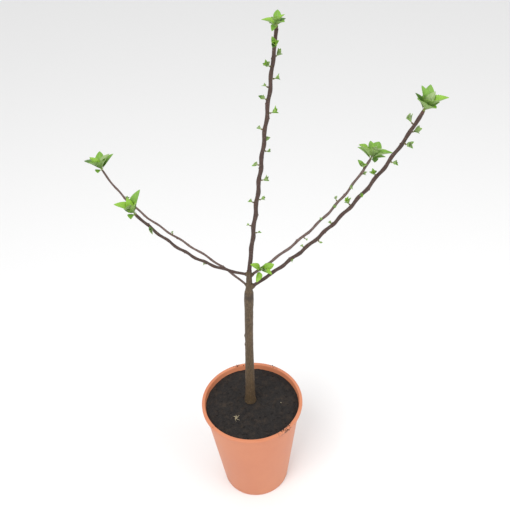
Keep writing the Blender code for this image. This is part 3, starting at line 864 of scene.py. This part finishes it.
def make_pot(settings):
    """Pot shell with a rounded rolled rim and drainage holes."""
    flange_inside = POT_RIM_RADIUS - POT_WALL
    lip_inside = POT_RIM_RADIUS - POT_RIM_WIDTH
    under_lip = POT_HEIGHT - POT_WALL
    flange_foot = POT_HEIGHT - POT_RIM_DEPTH
    profile = (
        (0.0, 0.0),
        (POT_BASE_RADIUS, 0.0),
        (POT_BODY_TOP_RADIUS, under_lip),
        (flange_inside, under_lip),
        (flange_inside, flange_foot),
        (POT_RIM_RADIUS, flange_foot),
        (POT_RIM_RADIUS, POT_HEIGHT),
        (lip_inside, POT_HEIGHT),
        (POT_BASE_RADIUS - POT_WALL, POT_FLOOR),
        (0.0, POT_FLOOR),
    )
    bm = bmesh.new()
    spin_profile(bm, profile, settings.sides)
    lips = (
        (POT_RIM_RADIUS, POT_HEIGHT, settings.rounding),
        (lip_inside, POT_HEIGHT, settings.rounding),
        (POT_BASE_RADIUS, 0.0, settings.rounding * 1.8),
        (POT_RIM_RADIUS, flange_foot, POT_WALL * 0.3),
    )
    for radius, height, offset in lips:
        edges = edge_ring(bm, radius, height)
        bmesh.ops.bevel(
            bm, geom=edges, offset=offset, segments=4, profile=0.5, affect="EDGES", material=-1
        )
    shell = finish_piece("pot_shell", bm, [plastic_material(settings)], ["pot"], 35.0)
    cut_drains(shell)


def cut_drains(shell):
    """Cut the drainage holes through the pot's floor."""
    bm = bmesh.new()
    size = {"radius1": DRAIN_RADIUS, "radius2": DRAIN_RADIUS, "depth": POT_FLOOR * 4.0}
    for index in range(DRAIN_HOLES):
        turn = math.tau * index / DRAIN_HOLES
        place = Matrix.Rotation(turn, 4, "Z") @ Matrix.Translation((DRAIN_CIRCLE_RADIUS, 0.0, 0.0))
        bmesh.ops.create_cone(bm, cap_ends=True, segments=24, matrix=place, **size)
    cutter = mesh_object("drains", bm)
    boolean = shell.modifiers.new("drains", "BOOLEAN")
    boolean.operation = "DIFFERENCE"
    boolean.object = cutter
    boolean.solver = "EXACT"
    apply_modifiers(shell)
    bpy.data.objects.remove(cutter)


def apply_modifiers(target):
    """Replace an object's mesh by the one its modifiers make."""
    bpy.context.view_layer.update()
    graph = bpy.context.evaluated_depsgraph_get()
    result = bpy.data.meshes.new_from_object(target.evaluated_get(graph))
    target.modifiers.clear()
    target.data = result


def soil_rise(x, y):
    """Height of the compost's clods above its mean, at a place."""
    spot = Vector((x, y, SOIL_TOP))
    away = (spot.xy - TRUNK_FOOT.xy).length - SOIL_PATCH_RADIUS * 0.72
    ease = min(1.0, max(0.0, away / SOIL_CLOD_SIZE))
    rise = noise.noise(spot / SOIL_CLOD_SIZE) + 0.5 * noise.noise(spot * 2.3 / SOIL_CLOD_SIZE)
    fine = 0.24 * noise.noise(spot * 6.0 / SOIL_CLOD_SIZE) + 0.16 * noise.noise(spot * 14.0 / SOIL_CLOD_SIZE)
    edge = pot_inner_radius(SOIL_TOP) - spot.xy.length
    if edge < 0.001:
        return -abs(rise) * SOIL_CLOD_HEIGHT * ease
    return (rise * ease + fine) * SOIL_CLOD_HEIGHT


def make_compost(settings):
    """Filled bed of compost with a cloddy top."""
    floor = POT_FLOOR + GAP
    inside = GAP * 1.2
    top_radius = pot_inner_radius(SOIL_TOP) - inside
    profile = [(0.0, floor), (pot_inner_radius(floor) - inside, floor), (top_radius, SOIL_TOP)]
    for ring in range(settings.rings - 1, -1, -1):
        profile.append((top_radius * ring / settings.rings, SOIL_TOP))
    bm = bmesh.new()
    spin_profile(bm, profile, SOIL_SIDES)
    for vert in bm.verts:
        if vert.co.z > SOIL_TOP - 0.001:
            vert.co.z += soil_rise(vert.co.x, vert.co.y)
    finish_piece("compost_bed", bm, [compost_material(settings)], ["soil"], 80.0)


def wandering(spot):
    """Smooth vector that changes from place to place, and is the same in each run."""
    return Vector([noise.noise(spot + Vector((shift, 0.0, 0.0))) for shift in WANDER_SHIFTS])


def add_crumb(bm, draw, point, size):
    """One rough crumb."""
    turn = Matrix.Rotation(draw.uniform(0.0, math.tau), 4, (draw.uniform(-1, 1), draw.uniform(-1, 1), 1.0))
    shape = Matrix.Diagonal((size, size * draw.uniform(0.6, 1.0), size * draw.uniform(0.45, 0.8), 1.0))
    made = bmesh.ops.create_icosphere(
        bm, subdivisions=1, radius=1.0, matrix=Matrix.Translation(point) @ turn @ shape
    )
    for vert in made["verts"]:
        vert.co += wandering(vert.co / size) * size * CRUMB_ROUGHNESS


def make_crumbs(settings):
    """Loose crumbs on the compost, and those spilled on the rim and down the outer wall."""
    draw = random.Random(11)
    bm = bmesh.new()
    limit = pot_inner_radius(SOIL_TOP) - 0.004
    for _ in range(settings.crumbs):
        radius = limit * math.sqrt(draw.random())
        turn = draw.uniform(0.0, math.tau)
        size = CRUMB_SMALLEST + CRUMB_RANGE * draw.random() ** 3
        x = radius * math.cos(turn)
        y = radius * math.sin(turn)
        add_crumb(bm, draw, Vector((x, y, SOIL_TOP + soil_rise(x, y) + size * 0.25)), size)
    for spill in SPILLS:
        for _ in range(spill.crumbs):
            size = SPILLED_SMALLEST + SPILLED_RANGE * draw.random() ** 2
            azimuth = spill.azimuth + draw.gauss(0.0, 0.5) * spill.spread
            if draw.random() * SPILL_REACH < spill.drop:
                radius = POT_RIM_RADIUS + size * 0.2
                height = POT_HEIGHT - POT_RIM_DEPTH * draw.random()
            else:
                radius = draw.uniform(POT_RIM_RADIUS - POT_RIM_WIDTH, POT_RIM_RADIUS)
                height = POT_HEIGHT + size * 0.3
            add_crumb(bm, draw, rim_spot(azimuth, radius, height), size)
    finish_piece("compost_crumbs", bm, [compost_material(settings)])


def ridges(spot, sizes):
    """Height of ridges and of the finer cracks between them."""
    coarse, fine = sizes
    return noise.noise(spot / coarse) + 0.5 * noise.noise(spot / fine)


Ring = namedtuple("Ring", "centre tangent radius along")


def bark_skin(layer, rings, relief):
    """Function that lifts a limb's vertices into ridges and keeps each one's place in straightened bark."""

    def lift(vert, number, angle):
        ring = rings[number]
        x = math.cos(angle) * ring.radius
        y = math.sin(angle) * ring.radius
        vert[layer] = Vector((x, y, ring.along)) * MILLIMETRES
        if 0 < number < len(rings) - 1:
            outward = (vert.co - ring.centre).normalized()
            vert.co += outward * ridges(Vector((x, y, ring.along * RIDGE_STRETCH)), LIMB_RIDGES) * relief

    return lift


def make_trunk(settings):
    """Trunk's bark with its collars fused in, ridged and knotted."""
    bm = bmesh.new()
    count = round((TRUNK_TOP.z - TRUNK_FOOT.z) / settings.step)
    sections = []
    for index in range(count + 1):
        share = index / count
        tangent = Vector((0.0, 0.0, 1.0)) if index == 0 else trunk_tangent(share)
        place = section_frame(trunk_point(share), tangent, Vector((1.0, 0.0, 0.0)))
        sections.append(place @ Matrix.Scale(girth(TRUNK_GIRTH, share), 4))
    grow(bm, sections, 32)
    for name in LIMBS:
        if name != "leader":
            grow(bm, collar_sections(name), 24)
    bark = bark_material("trunk bark", settings.trunk, settings.trunk_dark, settings.pale, graft=True)
    trunk = finish_piece("trunk_bark", bm, [bark], ["trunk"])
    remesh = trunk.modifiers.new("fuse", "REMESH")
    remesh.mode = "VOXEL"
    remesh.voxel_size = BARK_CELL
    apply_modifiers(trunk)
    dress_trunk(trunk, settings)


def collar_sections(name):
    """Flared stub from the trunk's heart to the foot of a bough."""
    limb = LIMBS[name]
    tangent = limb_tangent(name, 0.0)
    depth = limb.foot_reach / math.cos(math.radians(limb.leave))
    place = section_frame(limb_point(name, 0.0), tangent, across(tangent))
    sections = []
    for share in (1.0, 0.6, COLLAR_FLARE, 0.25, 0.12, 0.0):
        swell = mix(COLLAR_TOP_SWELL, COLLAR_FOOT_SWELL, min(1.0, share / COLLAR_FLARE))
        back = max(GAP, depth * share)
        scale = Matrix.Scale(limb.foot_radius * swell, 4)
        sections.append(place @ Matrix.Translation((0.0, 0.0, -back)) @ scale)
    return sections


def dress_trunk(trunk, settings):
    """Ridges, knots and the bark's own coordinates on the fused trunk."""
    bm = bmesh.new()
    bm.from_mesh(trunk.data)
    axes = {"use_axis_x": True, "use_axis_y": True, "use_axis_z": True}
    bmesh.ops.smooth_vert(bm, verts=bm.verts[:], factor=0.5, **axes)
    layer = bm.verts.layers.float_vector.new("grain")
    bm.normal_update()
    length = TRUNK_TOP.z - TRUNK_FOOT.z
    centres = []
    for knot in KNOTS:
        centre = trunk_point((knot.height - TRUNK_FOOT.z) / length)
        centres.append(centre + rim_spot(knot.azimuth, KNOT_REACH, 0.0))
    for vert in bm.verts:
        share = min(1.0, max(0.0, (vert.co.z - TRUNK_FOOT.z) / length))
        local = vert.co - trunk_point(share)
        vert[layer] = Vector((local.x, local.y, vert.co.z)) * MILLIMETRES
        if TRUNK_FOOT.z + BARK_HEM < vert.co.z < TRUNK_TOP.z - BARK_HEM:
            spot = Vector((local.x, local.y, vert.co.z * RIDGE_STRETCH))
            lift = ridges(spot, TRUNK_RIDGES) * settings.relief
            for knot, centre in zip(KNOTS, centres):
                reach = (vert.co - centre).length / knot.radius
                lift += knot.rise * math.exp(-reach * reach)
            vert.co += vert.normal * lift
    bm.to_mesh(trunk.data)
    bm.free()
    trunk.data.shade_smooth()


def make_limbs(settings):
    """Bark of the leader and the four boughs."""
    shoot = bark_material("shoot bark", settings.shoot, settings.trunk_dark, settings.pale)
    grey = bark_material("grey bark", settings.grey, settings.shoot, settings.pale)
    for name in LIMBS:
        bm = bmesh.new()
        layer = bm.verts.layers.float_vector.new("grain")
        count = round(limb_length(name) / settings.step)
        rings = []
        for index in range(-1, count + 1):
            share = max(0, index) / count
            tangent = limb_tangent(name, share)
            centre = limb_point(name, share) - tangent * (SINK if index < 0 else 0.0)
            rings.append(Ring(centre, tangent, limb_radius(name, share), share * limb_length(name)))
        sections = [round_section(ring.centre, ring.tangent, ring.radius) for ring in rings]
        grow(bm, sections, settings.sides, bark_skin(layer, rings, settings.relief * LIMB_RELIEF))
        finish_piece(name + "_bark", bm, [grey if "back" in name else shoot], [name])


def blade_width(share):
    """Half width of a blade at a share of its length, as a share of its widest."""
    body = math.sin(math.pi * min(1.0, max(0.0, share)) ** 0.8)
    return max(0.03, max(0.0, body) ** 0.75)


def add_blade(bm, layer, settings, place, length, fold, cup):
    """One leaf blade with toothed margins, folded on its midrib, its underside in the second material."""
    made = bmesh.ops.create_grid(bm, x_segments=settings.rows, y_segments=settings.columns, size=1.0)
    half_width = length * LEAF_WIDTH / 2.0
    maps = {}
    for vert in made["verts"]:
        share = (vert.co.x + 1.0) / 2.0
        side = vert.co.y
        row = round(share * settings.rows)
        tooth = 1.0 + (LEAF_TOOTH if row % 2 else 0.0) * abs(side) ** 4
        along = mix(LEAF_STALK, 1.0, share)
        wide = half_width * blade_width(share) * side * tooth
        vein = VEIN_DEPTH * length * math.cos(math.tau * VEIN_PAIRS * (share - 0.4 * abs(side))) * abs(side)
        rise = fold * abs(wide) - LEAF_CURL * along * along * length
        rise += cup * wide * wide / half_width + vein * 0.35
        maps[vert] = (share, 0.5 + side / 2.0)
        vert.co = Vector((along * length, wide, rise))
    faces = list(dict.fromkeys(face for vert in made["verts"] for face in vert.link_faces))
    for face in faces:
        face.normal_update()
        for loop in face.loops:
            loop[layer].uv = maps[loop.vert]
        if face.normal.z < 0.0:
            face.normal_flip()
    grown = bmesh.ops.solidify(bm, geom=faces, thickness=settings.thickness)["geom"]
    whole = {item for item in grown if isinstance(item, bmesh.types.BMVert)} | set(made["verts"])
    for face in {face for vert in whole for face in vert.link_faces}:
        face.normal_update()
        face.material_index = 1 if face.normal.z < -0.2 else 0
    bmesh.ops.transform(bm, matrix=place, verts=list(whole))


def add_stalk(bm, place, length, thick):
    """Leaf's stalk, running on as the midrib under the blade."""
    sections = []
    for along, share in ((0.0, 1.0), (0.08, 0.8), (LEAF_STALK, 0.7), (0.35, 0.5), (0.60, 0.35), (0.90, 0.15)):
        centre = Vector((along * length, 0.0, -LEAF_CURL * along * along * length - thick * share * 0.6))
        turn = Matrix(((0.0, 0.0, 1.0), (1.0, 0.0, 0.0), (0.0, 1.0, 0.0))).to_4x4()
        sections.append(place @ Matrix.Translation(centre) @ turn @ Matrix.Scale(thick * share, 4))
    grow(bm, sections, 6)


def leaf_kinds(settings):
    """Materials of each kind of leaf, in pairs of upper face and underside."""
    under = settings.downy
    kinds = {}
    for name in ("bright", "spring", "shaded", "downy"):
        colour = getattr(settings, name)
        pale = [mix(part, 0.55, 0.35) for part in colour]
        back = [mix(part, other, 0.55) for part, other in zip(colour, under)]
        pale_back = [mix(part, 0.6, 0.4) for part in back]
        upper = leaf_material(f"leaf {name}", colour, pale)
        lower = leaf_material(f"leaf {name} underside", back, pale_back, 0.62)
        kinds[name] = (upper, lower)
    return kinds


def make_leaves(settings):
    """All blades, dealt out by spray to the kinds of leaf, and the young ones furled at each heart."""
    kinds = leaf_kinds(settings)
    meshes = {}
    for name in kinds:
        bm = bmesh.new()
        meshes[name] = (bm, bm.loops.layers.uv.new("blade"))
    draw = random.Random(5)
    for shoot in all_shoots():
        kept = kept_leaves(shoot)
        for number, (place, length) in enumerate(kept):
            name = leaf_kind(shoot, number, len(kept), draw)
            bm, layer = meshes[name]
            cup = draw.uniform(0.0, 0.5)
            add_blade(bm, layer, settings, place, length, LEAF_FOLD * draw.uniform(0.8, 1.1), cup)
        for place, length in heart_leaves(shoot):
            bm, layer = meshes["downy" if draw.random() < 0.6 else "bright"]
            add_blade(bm, layer, settings, place, length, 1.2, 0.8)
    for name, (bm, _) in meshes.items():
        nodes = [shoot.node for shoot in all_shoots()] if name == "spring" else []
        finish_piece(f"leaves_{name}", bm, list(kinds[name]), nodes, 60.0)


def leaf_kind(shoot, number, count, draw):
    """Kind of leaf by its spray: bright at the fork; the darkest green low in a tuft, which is painted shade
    under the upper leaves; brighter at its heart, partly the young leaves' own colour and partly painted
    light.
    """
    chance = draw.random()
    if shoot.node == "leaves_fork":
        return "bright"
    # Low in a tuft: mostly the darkest green, painted shade under the upper leaves
    if number < count * 0.34:
        return "shaded" if chance < 0.4 else "spring"
    if number < count * 0.67:
        return "spring" if chance < 0.6 else "bright"
    # Heart of the tuft: mostly bright, partly young colour and partly painted light
    return "bright" if chance < 0.7 else "downy"


def heart_leaves(shoot):
    """Small furled leaves at a shoot's growing point, within the reach of its solid."""
    tuft = shoot.tuft
    draw = random.Random(tuft.seed + 1000)
    count, shortest, longest = (4, 0.34, 0.50) if tuft.leaves > SMALL_SHOOT else (2, 0.55, 0.80)
    plan = []
    for index in range(count):
        turn = math.radians(tuft.turn + 60.0 + SPIRAL * index)
        spread = math.radians(draw.uniform(10.0, 34.0))
        length = tuft.leaf * draw.uniform(shortest, longest)
        root = stem_point(shoot.base, shoot.start, shoot.aim, tuft.stem, draw.uniform(0.7, 0.98))
        plan.append((leaf_place(root, shoot.aim, turn, spread), length))
    return plan


def make_stems(settings):
    """Green stems of the shoots with the stalks and midribs of their leaves."""
    bm = bmesh.new()
    for shoot in all_shoots():
        tuft = shoot.tuft
        tip_radius = max(SPUR_TIP_RADIUS, tuft.radius * 0.35)
        sections = []
        for step in range(9):
            share = step / 8
            heading = (shoot.start * (1.0 - share) + shoot.aim * share).normalized()
            centre = stem_point(shoot.base, shoot.start, shoot.aim, tuft.stem, share)
            if step == 0:
                centre = centre - shoot.start * (GAP + 0.0005)
            radius = mix(tuft.radius, tip_radius, share) * (1.0 + 0.08 * math.cos(share * 18.0))
            sections.append(round_section(centre, heading, radius))
        grow(bm, sections, 10)
        for place, length in kept_leaves(shoot):
            add_stalk(bm, place, length, max(0.00022, min(0.0006, length * 0.02)))
    finish = fibre_material("green stem", settings.stalk, STEM_DARK, 0.5)
    finish_piece("stems_and_stalks", bm, [finish])


def add_scale(bm, place, length, width):
    """One bud scale: a pointed, hollow-cheeked blade."""
    sections = []
    for along, wide in ((0.0, 0.75), (0.3, 1.0), (0.65, 0.75), (1.0, 0.12)):
        lean = length * 0.22 * math.sin(math.pi * along)
        shape = Matrix.Diagonal((width * wide, width * 0.42 * wide, 1.0, 1.0))
        sections.append(place @ Matrix.Translation((0.0, lean, along * length)) @ shape)
    grow(bm, sections, 6)


def add_bud(bm, place):
    """One small closed bud."""
    sections = []
    for along, wide in ((0.0, 0.55), (0.25, 1.0), (0.55, 0.85), (0.85, 0.4), (1.0, 0.08)):
        rise = Matrix.Translation((0.0, 0.0, along * BUD_LENGTH))
        sections.append(place @ rise @ Matrix.Scale(BUD_RADIUS * wide, 4))
    grow(bm, sections, 8)


def make_buds():
    """Bud scales at the foot of each shoot, and the small closed buds at the bare joints."""
    bm = bmesh.new()
    for shoot in all_shoots():
        draw = random.Random(shoot.tuft.seed + 77)
        radius = shoot.tuft.radius
        foot = section_frame(shoot.base, shoot.start, across(shoot.start))
        for index in range(6 if shoot.tuft.leaves > SMALL_SHOOT else 4):
            spin = Matrix.Rotation(math.radians(SPIRAL * index), 4, "Z")
            tilt = Matrix.Rotation(math.radians(draw.uniform(8.0, 22.0)), 4, "X")
            out = Matrix.Translation((0.0, -radius * 0.9, 0.0))
            add_scale(bm, foot @ spin @ out @ tilt, radius * draw.uniform(1.6, 2.3), radius * 0.75)
    for name in LIMBS:
        for joint in range(2, int(limb_length(name) / INTERNODE)):
            share = joint * INTERNODE / limb_length(name)
            base, outward, aim = side_spot(name, share, BUD_TURN + SPIRAL * joint)
            growth = (aim * 0.4 + limb_tangent(name, share)).normalized()
            add_bud(bm, section_frame(base - outward * (GAP + BUD_SINK), growth, across(growth)))
    finish = fibre_material("bud scales", SCALE_BROWN, SCALE_DARK, 0.6)
    finish_piece("bud_scales", bm, [finish])


def make_litter():
    """Withered sprig and a pale speck on the compost."""
    bm = bmesh.new()
    draw = random.Random(3)
    for index in range(SPRIG_LEAVES):
        turn = math.radians(-130.0 + 46.0 * index + draw.uniform(-14.0, 14.0))
        reach = draw.uniform(0.006, 0.012)
        tangent = Vector((math.cos(turn), math.sin(turn), 0.3)).normalized()
        sections = []
        for step in range(7):
            share = step / 6
            x = SPRIG[0] + reach * share * math.cos(turn + share * 0.9)
            y = SPRIG[1] + reach * share * math.sin(turn + share * 0.9)
            z = SOIL_TOP + soil_rise(x, y) + 0.0014 + 0.0030 * math.sin(math.pi * share)
            place = section_frame(Vector((x, y, z)), tangent, Vector((0.0, 0.0, 1.0)))
            wide = 0.0010 * math.sin(math.pi * (0.15 + 0.8 * share))
            sections.append(place @ Matrix.Diagonal((0.0003, wide, 1.0, 1.0)))
        grow(bm, sections, 6)
    add_crumb(bm, draw, Vector((*SPECK, SOIL_TOP + soil_rise(*SPECK) + 0.001)), 0.0016)
    finish = fibre_material("dry bits", WITHERED, WITHERED_DARK, 0.8)
    finish_piece("dry_sprig", bm, [finish])


def make_stage(settings):
    """Floor, white surround, soft lights and the camera."""
    bm = bmesh.new()
    bmesh.ops.create_grid(bm, x_segments=1, y_segments=1, size=FLOOR_SIZE)
    made, tree, shader = new_material("studio floor")
    soft = ramp(tree, noise_of(tree, object_place(tree), 3.0), 0.2, 0.8, 0.97, 1.0)
    feed(tree, shader.inputs["Base Color"], blend(tree, soft, FLOOR_SHADE, rgba(settings.floor)))
    shader.inputs["Roughness"].default_value = 0.9
    floor = mesh_object("studio_floor", bm, [made])
    floor.location = (0.0, 0.0, -FLOOR_DROP)
    world = bpy.data.worlds.new("studio")
    world.use_nodes = True
    surround = world.node_tree.nodes["Background"].inputs
    surround["Color"].default_value = (1.0, 1.0, 1.0, 1.0)
    surround["Strength"].default_value = settings.sky
    bpy.context.scene.world = world
    bpy.context.scene.view_settings.view_transform = "Standard"
    add_light("key", KEY_PLACE, KEY_SIDE, settings.key)
    add_light("fill", FILL_PLACE, FILL_SIDE, settings.fill)
    add_camera()


def add_light(name, place, size, power):
    """Square soft light turned to the middle of the tree."""
    data = bpy.data.lights.new(name, "AREA")
    data.size = size
    data.energy = power
    heading = Vector(LIT_POINT) - Vector(place)
    turn = heading.to_track_quat("-Z", "Y").to_matrix().to_4x4()
    into_scene(name, data).matrix_world = Matrix.Translation(place) @ turn


def add_camera():
    """Camera at the photograph's angle."""
    data = bpy.data.cameras.new("camera")
    data.lens = CAMERA_LENS
    data.sensor_width = CAMERA_SENSOR
    data.clip_end = 50.0
    camera = into_scene("camera", data)
    yaw = Matrix.Rotation(math.radians(-CAMERA_YAW), 4, "Z")
    pitch = Matrix.Rotation(math.radians(90.0 - CAMERA_PITCH), 4, "X")
    roll = Matrix.Rotation(math.radians(CAMERA_ROLL), 4, "Z")
    camera.matrix_world = Matrix.Translation(CAMERA_PLACE) @ yaw @ pitch @ roll
    bpy.context.scene.camera = camera


class APPLETREE_OT_pot(bpy.types.Operator):
    """Make the plastic pot"""

    bl_idname = "apple_tree.pot"
    bl_label = "Pot"

    def execute(self, context):
        make_pot(context.scene.apple_tree_pot)
        return {"FINISHED"}


class APPLETREE_OT_compost(bpy.types.Operator):
    """Make the compost, its crumbs and what lies on it"""

    bl_idname = "apple_tree.compost"
    bl_label = "Compost"

    def execute(self, context):
        make_compost(context.scene.apple_tree_compost)
        make_crumbs(context.scene.apple_tree_compost)
        make_litter()
        return {"FINISHED"}


class APPLETREE_OT_trunk(bpy.types.Operator):
    """Make the trunk's bark"""

    bl_idname = "apple_tree.trunk"
    bl_label = "Trunk"

    def execute(self, context):
        make_trunk(context.scene.apple_tree_bark)
        return {"FINISHED"}


class APPLETREE_OT_limbs(bpy.types.Operator):
    """Make the bark of the leader and the boughs, with their buds"""

    bl_idname = "apple_tree.limbs"
    bl_label = "Limbs"

    def execute(self, context):
        make_limbs(context.scene.apple_tree_bark)
        make_buds()
        return {"FINISHED"}


class APPLETREE_OT_leaves(bpy.types.Operator):
    """Make the leaves, with their stalks and stems"""

    bl_idname = "apple_tree.leaves"
    bl_label = "Leaves"

    def execute(self, context):
        make_leaves(context.scene.apple_tree_leaves)
        make_stems(context.scene.apple_tree_leaves)
        return {"FINISHED"}


class APPLETREE_OT_stage(bpy.types.Operator):
    """Set the floor, the lights and the camera"""

    bl_idname = "apple_tree.stage"
    bl_label = "Studio"

    def execute(self, context):
        make_stage(context.scene.apple_tree_studio)
        return {"FINISHED"}


OPERATORS = (
    APPLETREE_OT_stage,
    APPLETREE_OT_pot,
    APPLETREE_OT_compost,
    APPLETREE_OT_trunk,
    APPLETREE_OT_limbs,
    APPLETREE_OT_leaves,
)


class APPLETREE_PT_panel(bpy.types.Panel):
    """Buttons that make the tree, piece by piece"""

    bl_idname = "APPLETREE_PT_panel"
    bl_label = "Potted Apple Tree"
    bl_space_type = "VIEW_3D"
    bl_region_type = "UI"
    bl_category = "Apple Tree"

    def draw(self, context):
        for operator in OPERATORS:
            self.layout.operator(operator.bl_idname)


SETTINGS = {
    "apple_tree_pot": PotSettings,
    "apple_tree_compost": CompostSettings,
    "apple_tree_bark": BarkSettings,
    "apple_tree_leaves": LeafSettings,
    "apple_tree_studio": StudioSettings,
}


def register():
    """Register the settings, the operators and the panel."""
    for name, group in SETTINGS.items():
        bpy.utils.register_class(group)
        setattr(bpy.types.Scene, name, PointerProperty(type=group))
    for item in (*OPERATORS, APPLETREE_PT_panel):
        bpy.utils.register_class(item)


def unregister():
    """Take away what register added."""
    for item in (APPLETREE_PT_panel, *reversed(OPERATORS)):
        bpy.utils.unregister_class(item)
    for name, group in SETTINGS.items():
        delattr(bpy.types.Scene, name)
        bpy.utils.unregister_class(group)


def main():
    """Make every piece in order."""
    register()
    bpy.ops.apple_tree.stage()
    bpy.ops.apple_tree.pot()
    bpy.ops.apple_tree.compost()
    bpy.ops.apple_tree.trunk()
    bpy.ops.apple_tree.limbs()
    bpy.ops.apple_tree.leaves()


if __name__ == "__main__":
    main()
